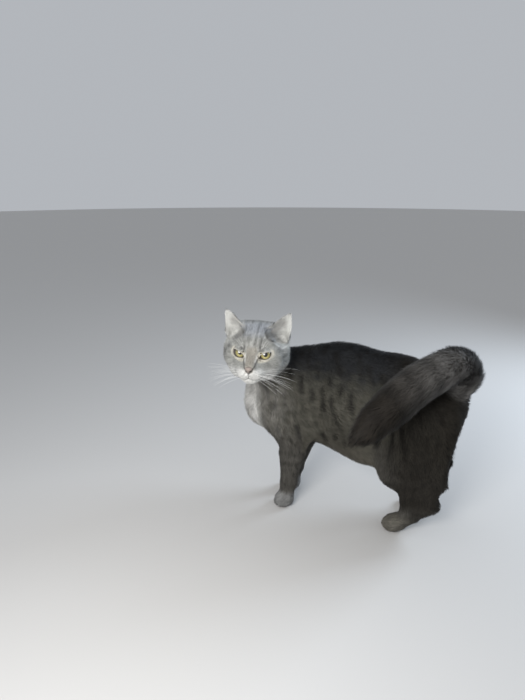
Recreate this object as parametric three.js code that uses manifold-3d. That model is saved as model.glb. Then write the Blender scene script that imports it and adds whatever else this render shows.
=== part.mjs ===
// A domestic tabby cat, life size, standing still with its head turned to look back over its left
// shoulder and its tail lifted and swung out to the left. The solids are the outside of the coat.
// Millimetres, +Z up. The cat faces -X and its left side is towards -Y. Places are first written
// from a point on the floor between the paws, and the last lines move the whole cat so that the
// origin is the bottom centre of its bounding box.

import * as THREE from 'three';
import Module from 'manifold-3d';
import { mergeVertices } from 'three/addons/utils/BufferGeometryUtils.js';

// ---- driving dimensions -----------------------------------------------------------------------

const backHeight = 300; // floor to the top of the back
const stance = 200; // front paws to hind paws
const track = 82; // left paws to right paws
const trunkHalfWidth = 53;
const pawHeight = 13; // floor to the middle of a paw
const tailRadius = 30;
const headTurn = 104; // degrees to the left of straight ahead
const headLift = 2; // degrees, nose up
const headTilt = 2; // degrees, left ear down
const earThickness = 4;
const eyeRadius = 10.6;
const eyeSpacing = 39;
const gap = 0.35; // between neighbouring pieces

// How far each leg stands out to the side and back from its even place.
const legSteps = {
  front_leg_left: { side: -1, out: 10, back: 5 },
  front_leg_right: { side: 1, out: -37, back: -3 },
  hind_leg_left: { side: -1, out: 0, back: 0 },
  hind_leg_right: { side: 1, out: -2, back: 16 },
};

// Heights at which the legs are divided.
const elbowCut = 108;
const kneeCut = 100;
const ankleCut = 30;

// Grid cells of the surfaces, finest where the form is smallest.
const bodyCell = 21;
const headCell = 8.6;
const muzzleCell = 6.2;
const legCell = 10.5;
const tailCell = 15;
const regionCell = 30;

// Sizes of the soft fillets where forms run together.
const bodyFillet = 8;
const trunkFillet = 6;
const headFillet = 4;
const legFillet = 3;

const v = (x, y, z) => new THREE.Vector3(x, y, z);
const box = (a, b) => new THREE.Box3(a, b);

// ---- fields: functions of a point that are negative inside a form ------------------------------

// A round rod that tapers from radius ra at a to rb at b. broad is its width over its depth.
function rod(a, b, ra, rb, broad = 1) {
  const axis = b.clone().sub(a);
  const lengthSq = axis.lengthSq();
  return (p) => {
    const x = p.x - a.x;
    const y = p.y - a.y;
    const z = p.z - a.z;
    const t = THREE.MathUtils.clamp((x * axis.x + y * axis.y + z * axis.z) / lengthSq, 0, 1);
    const across = (y - axis.y * t) / broad;
    return Math.hypot(x - axis.x * t, across, z - axis.z * t) - (ra + (rb - ra) * t);
  };
}

// An ellipsoid, turned nose-down by lean degrees about the y axis.
function lump(centre, radii, lean = 0) {
  const c = Math.cos(THREE.MathUtils.degToRad(lean));
  const s = Math.sin(THREE.MathUtils.degToRad(lean));
  return (p) => {
    const dx = p.x - centre.x;
    const dz = p.z - centre.z;
    const x = (c * dx - s * dz) / radii.x;
    const y = (p.y - centre.y) / radii.y;
    const z = (s * dx + c * dz) / radii.z;
    const k0 = Math.hypot(x, y, z);
    const k1 = Math.hypot(x / radii.x, y / radii.y, z / radii.z);
    return k1 === 0 ? -Math.min(radii.x, radii.y, radii.z) : (k0 * (k0 - 1)) / k1;
  };
}

// Forms run together with a soft fillet of about the given size.
function blend(size, forms) {
  return (p) => {
    let sum = 0;
    for (const form of forms) sum += Math.exp(-form(p) / size);
    return -size * Math.log(sum);
  };
}

// ---- trunk and neck ----------------------------------------------------------------------------

const w = trunkHalfWidth;
const trunkForms = [
  lump(v(-100, 0, 180), v(82, w - 5, 66)), // rib cage
  lump(v(-92, 0, 240), v(54, 28, 34)), // withers
  lump(v(-158, -4, 170), v(38, 35, 50)), // breast
  lump(v(-14, 0, 178), v(86, w - 2, 76)), // belly
  lump(v(-16, 0, backHeight - 54), v(94, 34, 50)), // arch of the back
  lump(v(68, 0, 223), v(80, w - 12, 66)), // loins
  lump(v(38, 0, 120), v(62, 38, 34)), // pouch in front of the thighs
  lump(v(136, 2, 216), v(44, 38, 48)), // rump
];
const neckForm = rod(v(-146, -6, 214), v(-146, -44, 264), 37, 35);

// ---- legs --------------------------------------------------------------------------------------

// The paw's pad and its four toes, which point towards -x.
function pawForms(paw, reach) {
  const toe = 8;
  const fan = [-1.5, -0.5, 0.5, 1.5]; // the outer toes stand a little back
  return [
    lump(paw, v(17.5, 13.5, 12)),
    ...fan.map((n) => lump(
      v(paw.x - reach + Math.abs(n) * 2.2, paw.y + n * toe * 0.95, toe),
      v(toe * 1.25, toe * 0.7, toe),
    )),
  ];
}

function frontLegForms({ side, out, back }) {
  const y = side * (track / 2 + out);
  const shoulder = v(-136, side * 37, 172);
  const elbow = v(-86, side * (track / 2 + 3 + out / 4), 126);
  const wrist = v(-stance / 2 + 4 + back, y, 46);
  const paw = v(-stance / 2 - 2 + back, y, pawHeight);
  return [
    lump(v(-112, side * 32, 205), v(34, 16, 56), -18), // shoulder blade
    rod(shoulder, elbow, 28, 24, 0.8), // upper arm
    rod(elbow, wrist, 26, 14.5, 0.85), // forearm
    rod(wrist, paw, 14, 12),
    ...pawForms(paw, 10),
  ];
}

function hindLegForms({ side, out, back }) {
  const y = side * (track / 2 + out);
  const hip = v(114, side * 34, 190);
  const knee = v(86, side * 42, 104);
  const hock = v(143 + back / 2, y + side * 2, 62);
  const paw = v(stance / 2 - 8 + back, y, pawHeight);
  return [
    lump(v(124, side * 32, 176), v(50, 20, 64), -12), // thigh
    rod(hip, knee, 36, 26, 0.62),
    rod(knee, hock, 27, 15, 0.7), // shank
    lump(v(143 + back / 2, side * 38, 118), v(25, 13, 42), -10), // calf and its trousers
    rod(v(hock.x - 34, y, 66), v(paw.x + 20, y, 34), 17, 14, 0.85), // front of the ankle
    rod(hock, paw, 14, 13), // instep
    ...pawForms(paw, 11),
  ];
}

// What a leg takes of the body: a stout form from the shoulder or hip down to the floor.
function frontRegion({ side, out, back }) {
  const y = side * (track / 2 + 8);
  return blend(legFillet, [
    rod(v(-112, y + side * 6, 196), v(-98, y, 128), 36, 34),
    rod(v(-98, y, 128), v(-98 + back, side * (track / 2 + out), pawHeight), 34, 34),
  ]);
}

function hindRegion({ side, back }) {
  const y = side * (track / 2 + 8);
  return blend(legFillet, [
    rod(v(118, y + side * 6, 186), v(112 + back / 2, y, 124), 50, 66, 0.6),
    rod(v(112 + back / 2, y, 124), v(118 + back, y, 66), 66, 58, 0.62),
    rod(v(118 + back, y, 66), v(104 + back, y, pawHeight), 54, 48, 0.7),
  ]);
}

const legs = Object.entries(legSteps).map(([name, step]) => {
  const front = name.startsWith('front');
  const inner = step.side * (track / 2 + step.out - (front ? 26 : 36));
  const outer = step.side * 100;
  return {
    name,
    form: blend(legFillet, front ? frontLegForms(step) : hindLegForms(step)),
    region: front ? frontRegion(step) : hindRegion(step),
    jointCut: front ? elbowCut : kneeCut,
    span: box(
      v(front ? -150 : 40, Math.min(inner, outer), -10),
      v(front ? -40 : 220, Math.max(inner, outer), 140),
    ),
  };
});

// ---- tail --------------------------------------------------------------------------------------

const tailLine = new THREE.CatmullRomCurve3([
  v(150, 2, 226), v(165, 0, 262), v(156, -36, 292), v(119, -88, 283), v(84, -132, 254), v(56, -166, 225),
]);
const tailSteps = 14;
const tailCuts = [0.36, 0.68]; // of the length, from the root
function tailRadiusAt(t) {
  const root = 0.8 + 0.2 * Math.sin(Math.min(t / 0.4, 1) * Math.PI / 2);
  const tip = Math.sqrt(1 - Math.pow(Math.max(t - 0.7, 0) / 0.42, 2));
  return tailRadius * root * tip - legFillet;
}
const tailField = blend(legFillet, Array.from({ length: tailSteps }, (_, i) => {
  const from = i / tailSteps;
  const to = (i + 1) / tailSteps;
  return rod(tailLine.getPoint(from), tailLine.getPoint(to), tailRadiusAt(from), tailRadiusAt(to));
}));

// ---- head, in its own frame: x to the nose, y to its left, z up ---------------------------------

const headCentre = v(-140, -80, 286);
const headPlace = new THREE.Matrix4().compose(
  headCentre,
  new THREE.Quaternion().setFromEuler(new THREE.Euler(
    THREE.MathUtils.degToRad(-headTilt),
    THREE.MathUtils.degToRad(-headLift),
    THREE.MathUtils.degToRad(180 + headTurn),
    'ZYX',
  )),
  v(1, 1, 1),
);
const headPlaceBack = headPlace.clone().invert();
const onBothSides = (make) => [make(1), make(-1)];
const headForms = [
  lump(v(-17, 0, 13), v(36, 40, 33)), // cranium
  ...onBothSides((s) => lump(v(-18, s * 24, 26), v(18, 17, 18))), // roots of the ears
  ...onBothSides((s) => lump(v(-12, s * 28.5, 6), v(24, 20, 20))), // temples
  ...onBothSides((s) => lump(v(12, s * 28, 2), v(11, 10, 12))), // outer rims of the eye sockets
  lump(v(6, 0, 15), v(20, 28, 22)), // forehead
  ...onBothSides((s) => lump(v(12, s * 17, 12), v(13, 14, 11))), // brows
  ...onBothSides((s) => lump(v(8, s * 24, -9), v(20, 20, 16))), // cheekbones
  ...onBothSides((s) => lump(v(-10, s * 29, -12), v(26, 22, 24))), // cheek ruff
  ...onBothSides((s) => lump(v(8, s * 20, -26), v(20, 16, 14))), // jowls
  ...onBothSides((s) => lump(v(24, s * 12, -11), v(14, 10, 10))), // sides of the nose
  rod(v(20, 0, 7), v(43, 0, -12), 12, 7), // bridge of the nose
  lump(v(46, 0, -16), v(5, 6, 4.5)), // tip of the nose
  ...onBothSides((s) => lump(v(35, s * 9.5, -23), v(12, 10, 8.5))), // whisker pads
  lump(v(34, 0, -33.5), v(9, 9, 6)), // chin
  rod(v(24, 0, -29), v(-6, 0, -26), 11, 17), // lower jaw
  lump(v(-24, 0, -12), v(26, 30, 28)), // back of the head
];
const headField = blend(headFillet, headForms);
const eyePlace = (side) => v(21, side * eyeSpacing / 2, 4);
const nosePlace = v(51.5, 0, -14);
const noseRadii = v(5, 7, 5.5);

// The ear of the head's left (side 1) or right (side -1): a cupped sheet from the scalp to the tip.
const earTip = v(-10, 51, 64);
const earInnerBase = v(3, 16, 33);
const earOuterBase = v(-14, 48, 12);
const earBack = v(-0.9, 0.1, -0.25); // the way the cup is deep
const earDepth = 18;
const earRows = 7;
const earColumns = 5;
const earPoint = 0.3; // how blunt the tip is
const earFullness = 0.8; // how far the edges bow outward
const earOpening = v(30, 0, -3); // the way out of the hollow in front of the cup

function earSheet(side, behindBy, moved = v(0, 0, 0)) {
  const middle = earInnerBase.clone().add(earOuterBase).multiplyScalar(0.5);
  const half = earOuterBase.clone().sub(earInnerBase).multiplyScalar(0.5);
  return Array.from({ length: earRows + 1 }, (_, i) => {
    const t = 0.985 * Math.sin((i / earRows) * Math.PI / 2);
    const width = (1 - earPoint) * (1 - t) * (1 + earFullness * t) + earPoint * Math.sqrt(1 - t * t);
    const spine = middle.clone().lerp(earTip, t);
    return Array.from({ length: earColumns + 1 }, (_unused, j) => {
      const u = 2 * j / earColumns - 1;
      const depth = earDepth * Math.pow(1 - t, 0.8) * (1 - u * u) + behindBy;
      const place = spine.clone().addScaledVector(half, u * width).addScaledVector(earBack, depth).add(moved);
      return v(place.x, side * place.y, place.z);
    });
  });
}

// ---- the whole outline ---------------------------------------------------------------------------

const bodyField = blend(bodyFillet, [
  blend(trunkFillet, trunkForms),
  neckForm,
  ...legs.map((leg) => leg.form),
]);
const headHere = (p) => headField(p.clone().applyMatrix4(headPlaceBack));
const wholeField = blend(trunkFillet, [bodyField, headHere]);

// ---- surfaces ----------------------------------------------------------------------------------

// One closed mesh over a field's surface inside a box: a vertex in every grid cell that the surface
// crosses, drawn onto the surface, and a pair of triangles across every grid edge that it crosses.
function surfaceOf(field, span, cell) {
  const n = span.getSize(v(0, 0, 0)).divideScalar(cell).ceil().addScalar(1);
  const [nx, ny, nz] = n.toArray();
  const at = (i, j, k) => (k * ny + j) * nx + i;
  const value = new Float32Array(nx * ny * nz);
  const p = v(0, 0, 0);
  for (let k = 0; k < nz; k++) {
    for (let j = 0; j < ny; j++) {
      for (let i = 0; i < nx; i++) {
        p.set(i, j, k).multiplyScalar(cell).add(span.min);
        const rim = i === 0 || j === 0 || k === 0 || i === nx - 1 || j === ny - 1 || k === nz - 1;
        value[at(i, j, k)] = rim ? Math.max(field(p), cell / 4) : field(p);
      }
    }
  }

  const corners = [0, 1, 2, 3, 4, 5, 6, 7].map((c) => [c & 1, (c >> 1) & 1, c >> 2]);
  const edges = corners.flatMap((a) => [0, 1, 2].filter((axis) => a[axis] === 0).map((axis) => {
    const b = a.with(axis, 1);
    return [a, b];
  }));

  const places = [];
  const vertexOf = new Map();
  for (let k = 0; k < nz - 1; k++) {
    for (let j = 0; j < ny - 1; j++) {
      for (let i = 0; i < nx - 1; i++) {
        const sum = v(0, 0, 0);
        let crossings = 0;
        for (const [a, b] of edges) {
          const fa = value[at(i + a[0], j + a[1], k + a[2])];
          const fb = value[at(i + b[0], j + b[1], k + b[2])];
          if (fa < 0 === fb < 0) continue;
          sum.add(v(i, j, k).add(v(...a).lerp(v(...b), fa / (fa - fb))));
          crossings++;
        }
        if (!crossings) continue;
        const place = sum.multiplyScalar(cell / crossings).add(span.min);
        vertexOf.set(at(i, j, k), places.length / 3);
        places.push(...ontoSurface(field, place, cell).toArray());
      }
    }
  }

  const vertex = (m) => v(...places.slice(3 * m, 3 * m + 3));
  const apart = (m, o) => vertex(m).distanceTo(vertex(o));
  const faces = [];
  const strides = [1, nx, nx * ny];
  for (let k = 0; k < nz - 1; k++) {
    for (let j = 0; j < ny - 1; j++) {
      for (let i = 0; i < nx - 1; i++) {
        const here = at(i, j, k);
        const index = [i, j, k];
        for (let axis = 0; axis < 3; axis++) {
          const inside = value[here] < 0;
          if (inside === value[here + strides[axis]] < 0) continue;
          if (index[(axis + 1) % 3] === 0 || index[(axis + 2) % 3] === 0) continue;
          const u = strides[(axis + 1) % 3];
          const t = strides[(axis + 2) % 3];
          const quad = [here - u - t, here - t, here, here - u].map((c) => vertexOf.get(c));
          if (!inside) quad.reverse();
          const [a, b, c, d] = quad;
          if (apart(a, c) < apart(b, d)) faces.push(a, b, c, a, c, d);
          else faces.push(a, b, d, b, c, d);
        }
      }
    }
  }
  const geometry = new THREE.BufferGeometry();
  geometry.setAttribute('position', new THREE.Float32BufferAttribute(places, 3));
  geometry.setIndex(faces);
  return geometry;
}

// Two steps down the field's slope, at most a third of a cell in all.
function ontoSurface(field, start, cell) {
  const place = start.clone();
  const h = cell / 20;
  for (let step = 0; step < 2; step++) {
    const f = field(place);
    const slope = v(
      field(place.clone().add(v(h, 0, 0))) - f,
      field(place.clone().add(v(0, h, 0))) - f,
      field(place.clone().add(v(0, 0, h))) - f,
    ).divideScalar(h);
    place.addScaledVector(slope, -f / Math.max(slope.lengthSq(), 0.1));
  }
  return place.sub(start).clampLength(0, cell / 3).add(start);
}

// A closed sheet between two grids of places, front and back.
function sheetGeometry(front, back, flip) {
  const rows = front.length;
  const columns = front[0].length;
  const index = (layer, i, j) => (layer * rows + i) * columns + j;
  const faces = [];
  const quad = (a, b, c, d) => faces.push(...(flip ? [a, c, b, a, d, c] : [a, b, c, a, c, d]));
  for (let i = 0; i < rows - 1; i++) {
    for (let j = 0; j < columns - 1; j++) {
      quad(index(0, i, j), index(0, i, j + 1), index(0, i + 1, j + 1), index(0, i + 1, j));
      quad(index(1, i, j), index(1, i + 1, j), index(1, i + 1, j + 1), index(1, i, j + 1));
    }
    quad(index(0, i, 0), index(0, i + 1, 0), index(1, i + 1, 0), index(1, i, 0));
    const j = columns - 1;
    quad(index(0, i, j), index(1, i, j), index(1, i + 1, j), index(0, i + 1, j));
  }
  for (let j = 0; j < columns - 1; j++) {
    quad(index(0, 0, j), index(1, 0, j), index(1, 0, j + 1), index(0, 0, j + 1));
    const i = rows - 1;
    quad(index(0, i, j), index(0, i, j + 1), index(1, i, j + 1), index(1, i, j));
  }
  const geometry = new THREE.BufferGeometry();
  const places = [...front, ...back].flat().flatMap((place) => place.toArray());
  geometry.setAttribute('position', new THREE.Float32BufferAttribute(places, 3));
  geometry.setIndex(faces);
  return geometry;
}

// ---- solids ------------------------------------------------------------------------------------

const wasm = await Module();
wasm.setup();

function solidOf(geometry) {
  const bare = geometry.clone();
  bare.deleteAttribute('normal');
  bare.deleteAttribute('uv');
  const merged = mergeVertices(bare, 1e-4);
  return new wasm.Manifold(new wasm.Mesh({
    numProp: 3,
    vertProperties: merged.attributes.position.array,
    triVerts: new Uint32Array(merged.index.array),
  }));
}

function geometryOf(solid) {
  const mesh = solid.getMesh();
  const geometry = new THREE.BufferGeometry();
  geometry.setAttribute('position', new THREE.BufferAttribute(mesh.vertProperties, 3));
  geometry.setIndex(new THREE.BufferAttribute(mesh.triVerts, 1));
  geometry.computeVertexNormals();
  return geometry;
}

// The same solid with its surface moved out by a distance.
function swollen(solid, distance) {
  const geometry = geometryOf(solid);
  const place = geometry.attributes.position;
  const normal = geometry.attributes.normal;
  for (let i = 0; i < place.count; i++) {
    place.setXYZ(
      i,
      place.getX(i) + normal.getX(i) * distance,
      place.getY(i) + normal.getY(i) * distance,
      place.getZ(i) + normal.getZ(i) * distance,
    );
  }
  return solidOf(geometry);
}

// A plane that divides pieces, by a place on it and the way it faces.
const plane = (place, normal) => ({ place, normal: normal.clone().normalize() });
const aheadOf = ({ place, normal }) => (p) => normal.dot(p.clone().sub(place));

// The part of a solid before a plane, where its normal points, or behind it: half a gap away.
const before = (solid, { place, normal }) => solid.trimByPlane(
  normal.toArray(),
  normal.dot(place) + gap / 2,
);
const behind = (solid, { place, normal }) => before(solid, plane(place, normal.clone().negate()));

// ---- pieces ------------------------------------------------------------------------------------

const cat = new THREE.Group();
cat.name = 'cat';
const colours = {
  coat: 0x5d5c59,
  paleCoat: 0x8d8a86,
  ear: 0xb9a9a3,
  eye: 0xa8a03c,
  nose: 0x8a6a66,
};
function piece(name, solid, colour, roughness = 0.85) {
  const material = new THREE.MeshStandardMaterial({ color: colour, roughness, metalness: 0 });
  const mesh = new THREE.Mesh(geometryOf(solid), material);
  mesh.name = name;
  cat.add(mesh);
}

// The outline over one stretch of the cat, which ends two cells past the plane that it's cut at.
function outlineOver(span, cell, ends) {
  const field = (p) => Math.max(wholeField(p), ...ends.map((end) => end(p) - 2 * cell));
  return solidOf(surfaceOf(field, span, cell));
}
const opposite = (end) => (p) => -end(p);

// Head, in a coarser surface behind the plane that cuts off the muzzle and a finer one before it.
const headPlane = plane(v(-146, -46, 256), v(0, -0.8, 0.6));
const muzzlePlane = plane(
  v(30, 0, -6).applyMatrix4(headPlace),
  v(0.75, 0, -0.66).transformDirection(headPlace),
);
const headSpan = box(v(-230, -160, 200), v(-60, 10, 350));
const pastNeck = opposite(aheadOf(headPlane));
const skull = behind(before(
  outlineOver(headSpan, headCell, [pastNeck, aheadOf(muzzlePlane)]),
  headPlane,
), muzzlePlane);
const muzzle = before(before(
  outlineOver(headSpan, muzzleCell, [pastNeck, opposite(aheadOf(muzzlePlane))]),
  headPlane,
), muzzlePlane);

const ball = (place, radii) => solidOf(new THREE.SphereGeometry(1, 13, 8)
  .scale(radii.x, radii.y, radii.z)
  .translate(place.x, place.y, place.z)
  .applyMatrix4(headPlace));
const [eyeLeft, eyeRight] = onBothSides((s) => ball(eyePlace(s), v(eyeRadius, eyeRadius, eyeRadius)));
const sockets = swollen(eyeLeft, gap).add(swollen(eyeRight, gap));
const hollows = onBothSides((s) => solidOf(
  sheetGeometry(earSheet(s, 0, earOpening), earSheet(s, 0), s < 0).applyMatrix4(headPlace),
));
const skullWithHollows = hollows.reduce((rest, hollow) => rest.subtract(hollow), skull);
const noseBall = ball(nosePlace, noseRadii);
piece('head', skullWithHollows.subtract(sockets), colours.paleCoat);
piece('muzzle', muzzle.subtract(sockets).subtract(swollen(noseBall, gap)), colours.paleCoat);
piece('nose', noseBall, colours.nose, 0.6);
piece('eye_left', eyeLeft, colours.eye, 0.1);
piece('eye_right', eyeRight, colours.eye, 0.1);

for (const [name, s] of [['ear_left', 1], ['ear_right', -1]]) {
  const sheet = sheetGeometry(earSheet(s, 0), earSheet(s, earThickness), s < 0);
  const ear = solidOf(sheet.applyMatrix4(headPlace)).subtract(swollen(skull, gap));
  piece(name, ear, colours.ear);
}

// Tail, in three lengths.
const tailSpan = box(v(10, -220, 170), v(230, 60, 360));
const tail = solidOf(surfaceOf(tailField, tailSpan, tailCell));
const [tailFirst, tailSecond] = tailCuts.map((t) => plane(tailLine.getPoint(t), tailLine.getTangent(t)));
piece('tail_base', behind(tail, tailFirst), colours.coat);
piece('tail_middle', behind(before(tail, tailFirst), tailSecond), colours.coat);
piece('tail_tip', before(tail, tailSecond), colours.coat);

// Neck and trunk, less what the legs and the tail take.
const up = v(0, 0, 1);
const bodySpan = box(v(-240, -120, 40), v(240, 120, 350));
const regionSpan = box(v(-220, -150, -60), v(230, 150, 290));
const neckPlane = plane(v(-152, 0, 216), v(-0.75, -0.15, 0.64));
const body = outlineOver(bodySpan, bodyCell, [
  aheadOf(headPlane),
  opposite(aheadOf(plane(v(0, 0, kneeCut + bodyCell / 2), up))),
]);
const regions = legs.map((leg) => solidOf(surfaceOf(leg.region, regionSpan, regionCell)));
const torso = [tail, ...regions].reduce(
  (rest, taken) => rest.subtract(swollen(taken, gap)),
  behind(body, headPlane),
);
piece('neck', before(torso, neckPlane), colours.coat);
piece('trunk', behind(torso, neckPlane), colours.coat);

// Legs, each in three pieces, on small flats where the paws rest.
legs.forEach(({ name, jointCut, span }, i) => {
  const jointPlane = plane(v(0, 0, jointCut), up);
  const anklePlane = plane(v(0, 0, ankleCut), up);
  const floorPlane = plane(v(0, 0, -gap / 2), up);
  const upper = before(body.intersect(regions[i]), jointPlane);
  const lowerOutline = outlineOver(span, legCell, [aheadOf(jointPlane)]);
  const lower = before(behind(lowerOutline.intersect(regions[i]), jointPlane), floorPlane);
  piece(name + '_upper', upper, colours.coat);
  piece(name + '_lower', before(lower, anklePlane), colours.coat);
  piece(name + '_paw', behind(lower, anklePlane), colours.paleCoat);
});

const bounds = new THREE.Box3().setFromObject(cat);
const middle = bounds.getCenter(v(0, 0, 0));
cat.position.set(-middle.x, -middle.y, -bounds.min.z);

export default cat;
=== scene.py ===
import math
import bmesh
import bpy
import numpy as np
from mathutils import Euler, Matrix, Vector
from mathutils.bvhtree import BVHTree


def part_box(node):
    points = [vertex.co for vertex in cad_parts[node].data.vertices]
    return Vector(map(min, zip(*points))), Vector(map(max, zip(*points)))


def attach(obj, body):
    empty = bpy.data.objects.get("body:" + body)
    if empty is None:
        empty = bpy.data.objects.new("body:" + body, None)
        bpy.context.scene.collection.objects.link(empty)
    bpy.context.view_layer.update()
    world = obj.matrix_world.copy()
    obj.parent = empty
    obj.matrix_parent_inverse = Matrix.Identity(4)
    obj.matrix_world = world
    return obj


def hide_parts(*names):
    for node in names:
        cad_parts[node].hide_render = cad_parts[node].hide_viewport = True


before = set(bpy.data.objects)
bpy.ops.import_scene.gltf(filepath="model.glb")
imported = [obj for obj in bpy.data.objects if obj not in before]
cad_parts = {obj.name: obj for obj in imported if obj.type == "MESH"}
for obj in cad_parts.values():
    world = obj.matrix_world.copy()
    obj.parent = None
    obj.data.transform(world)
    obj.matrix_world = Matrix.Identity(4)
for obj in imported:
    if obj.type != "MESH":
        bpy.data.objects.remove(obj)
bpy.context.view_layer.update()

# A grey tabby that stands still and looks back over its left shoulder. Lengths are millimetres in
# the row frame, and placeMesh turns them into metres. The cat faces -x, its left side is towards
# -y, and its midline is at y = middle.
mm = 0.001
tau = 2 * math.pi
shift = np.array([1.69, 60.38, 0])  # from between the paws to the middle of the bounding box
middle = shift[1]
dice = np.random.default_rng(7)


# small helpers

def unit(a):
    return a / np.maximum(np.linalg.norm(a, axis=-1, keepdims=True), 1e-9)


def ramp(a, low, high):  # 0 at low, 1 at high, with soft ends
    t = np.clip((a - low) / (high - low), 0, 1)
    return t * t * (3 - 2 * t)


def near(a, place, reach):  # 1 at the place, falling away over reach
    return np.exp(-((a - place) / reach) ** 2)


def ripple(p, size, seed, waves=12):  # a soft random field, about -1 to 1, in patches of that size
    die = np.random.default_rng(seed)
    k = unit(die.normal(size=(waves, 3))) * tau / size * die.uniform(0.5, 1.3, (waves, 1))
    return np.sin(p @ k.T + die.uniform(0, tau, waves)).sum(1) / math.sqrt(waves)


def blendTo(colour, other, share):
    return colour + (np.asarray(other) - colour) * np.clip(share, 0, 1)[:, None]


def placeMesh(name, places, faces, material):
    mesh = bpy.data.meshes.new(name)
    places = np.asarray(places, float) * mm
    if isinstance(faces, np.ndarray):
        count, sides = faces.shape
        mesh.vertices.add(len(places))
        mesh.vertices.foreach_set("co", places.astype(np.float32).ravel())
        mesh.loops.add(faces.size)
        mesh.loops.foreach_set("vertex_index", faces.astype(np.int32).ravel())
        mesh.polygons.add(count)
        mesh.polygons.foreach_set("loop_start", np.arange(0, faces.size, sides, dtype=np.int32))
    else:
        mesh.from_pydata(places.tolist(), [], [list(map(int, f)) for f in faces])
    mesh.update(calc_edges=True)
    mesh.polygons.foreach_set("use_smooth", [True] * len(mesh.polygons))
    mesh.materials.append(material)
    piece = bpy.data.objects.new(name, mesh)
    bpy.context.scene.collection.objects.link(piece)
    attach(piece, "root")
    return piece


def paint(mesh, colours):  # one colour for each vertex
    layer = mesh.color_attributes.new("tint", "FLOAT_COLOR", "POINT")
    rgba = np.ones((len(colours), 4), np.float32)
    rgba[:, :3] = np.clip(colours, 0.004, 0.95)
    layer.data.foreach_set("color", rgba.ravel())


def gridFaces(rows, columns, closed=True):  # quads of a grid of places, row by row
    faces = []
    for i in range(rows - 1):
        for j in range(columns if closed else columns - 1):
            k = (j + 1) % columns
            faces.append((i * columns + j, i * columns + k, (i + 1) * columns + k, (i + 1) * columns + j))
    return faces


# camera, floor and light

studio = {
    "cameraPlace": (191.09, -731.22, 550),
    "cameraTurn": 24,  # degrees to the left of straight along y
    "cameraDip": 18.4,  # degrees below level
    "lens": 27.05,
    "floorColour": (0.60, 0.59, 0.575),
    "airColour": (0.90, 0.94, 1.0),
    "airStrength": 0.50,
    # place, aimed at, size in metres, watts, colour
    "lamps": {
        "keyLamp": ((-0.06, -0.80, 0.58), (-0.16, -0.04, 0.25), 0.35, 6.8, (1.0, 0.985, 0.96)),
        "rimLamp": ((0.75, 0.85, 0.75), (0.05, 0, 0.25), 0.5, 10.5, (0.76, 0.87, 1.0)),
    },
}


def buildStudio():
    scene = bpy.context.scene
    scene.view_settings.view_transform = "Standard"
    camera = bpy.data.objects.new("camera", bpy.data.cameras.new("camera"))
    camera.location = Vector(studio["cameraPlace"]) * mm
    camera.rotation_euler = (math.radians(90 - studio["cameraDip"]), 0, math.radians(studio["cameraTurn"]))
    camera.data.lens = studio["lens"]
    camera.data.sensor_width = 36
    camera.data.clip_start = 0.01
    scene.collection.objects.link(camera)
    scene.camera = camera

    world = bpy.data.worlds.new("air")
    world.use_nodes = True
    world.node_tree.nodes["Background"].inputs["Color"].default_value = (*studio["airColour"], 1)
    world.node_tree.nodes["Background"].inputs["Strength"].default_value = studio["airStrength"]
    scene.world = world

    for name, (place, aim, size, watts, colour) in studio["lamps"].items():
        lamp = bpy.data.lights.new(name, "AREA")
        lamp.size, lamp.energy, lamp.color = size, watts, colour
        lampObject = bpy.data.objects.new(name, lamp)
        lampObject.location = place
        lampObject.rotation_euler = (Vector(aim) - Vector(place)).to_track_quat("-Z", "Y").to_euler()
        scene.collection.objects.link(lampObject)

    floorMaterial = bpy.data.materials.new("floorPaint")
    floorMaterial.use_nodes = True
    shader = floorMaterial.node_tree.nodes["Principled BSDF"]
    shader.inputs["Base Color"].default_value = (*studio["floorColour"], 1)
    shader.inputs["Roughness"].default_value = 0.85
    disc = bmesh.new()
    bmesh.ops.create_circle(disc, cap_ends=True, radius=9, segments=96)
    floorMesh = bpy.data.meshes.new("floor")
    disc.to_mesh(floorMesh)
    disc.free()
    floorMesh.materials.append(floorMaterial)
    floor = bpy.data.objects.new("floor", floorMesh)
    scene.collection.objects.link(floor)


buildStudio()
print("studio ready")


# the head's own frame: x to the nose, y to the cat's left, z up

head = {
    "centre": np.array([-140, -80, 286]) + shift,
    "turn": 104, "lift": 2, "tilt": 2,  # degrees
}
headAxes = np.array(Euler(
    (math.radians(-head["tilt"]), math.radians(-head["lift"]), math.radians(180 + head["turn"])), "XYZ",
).to_matrix())


def toHead(p):
    return (p - head["centre"]) @ headAxes


def fromHead(q):
    return q @ headAxes.T + head["centre"]


# materials

# roughness, sheen, shine, speckle of the colour and its grain, height and grain of the relief
materialPlan = {
    "tabbyFur": (0.66, 0.03, 0.13, 0.12, 260, 0, 0),
    "tabbySkin": (0.75, 0.1, 0.2, 0.16, 420, 0.6, 1100),
    "lidSkin": (0.5, 0.1, 0.35, 0.1, 700, 0.15, 2400),
    "noseLeather": (0.42, 0, 0.45, 0.12, 900, 0.25, 2600),
    "whiskerHorn": (0.35, 0, 0.5, 0.04, 300, 0, 0),
    "wetEye": (0.25, 0, 0.5, 0.1, 1200, 0, 0),
}


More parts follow.
